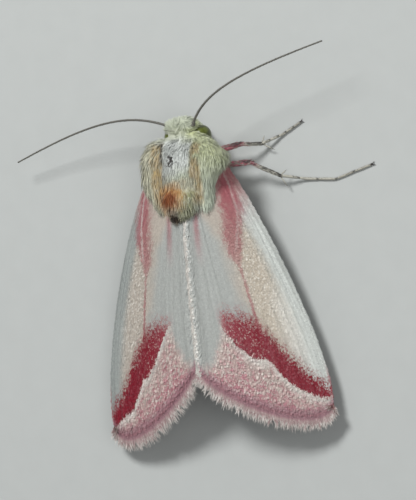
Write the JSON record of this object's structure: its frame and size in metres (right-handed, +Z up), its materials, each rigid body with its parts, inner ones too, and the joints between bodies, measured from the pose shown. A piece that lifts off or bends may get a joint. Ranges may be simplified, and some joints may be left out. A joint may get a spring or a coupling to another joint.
{
  "type": "clouded crimson moth",
  "caption": "Still life-size moth at rest: white forewings with crimson bands folded like a roof over a furry body, thread-like antennae and jointed legs.",
  "frame": {"origin": "middle of the moth's bounding box, on the floor that its feet stand on", "axes": "+Y toward the moth's head, +X toward the moth's right, +Z up"},
  "size_m": [0.0192, 0.0197, 0.0045],
  "materials": {
    "thorax": "long grey-white, ochre and olive hair scales",
    "head": "pale yellow-green tuft of hair scales",
    "eye": "dark olive, glossy",
    "tegula": "pale yellow-green hair scales",
    "feeler": "grey-brown, thread-like",
    "palp": "short tan scales",
    "abdomen": "cream hair scales",
    "forewing": "satin white scales with crimson and pink marks",
    "hindwing": "plain pale satin scales",
    "leg": "tan scales banded dark and pink"
  },
  "bodies": {
    "root": {"abdomen": "abdomen", "antenna_left": "feeler", "antenna_right": "feeler", "eye_left": "eye", "eye_right": "eye", "forewing_left": "forewing", "forewing_right": "forewing", "head": "head", "hindwing_left": "hindwing", "hindwing_right": "hindwing", "leg_fore_left": "leg", "leg_fore_right": "leg", "leg_hind_left": "leg", "leg_hind_right": "leg", "leg_mid_left": "leg", "leg_mid_right": "leg", "palp_left": "palp", "palp_right": "palp", "tegula_left": "tegula", "tegula_right": "tegula", "thorax": "thorax"}
  },
  "joints": []
}
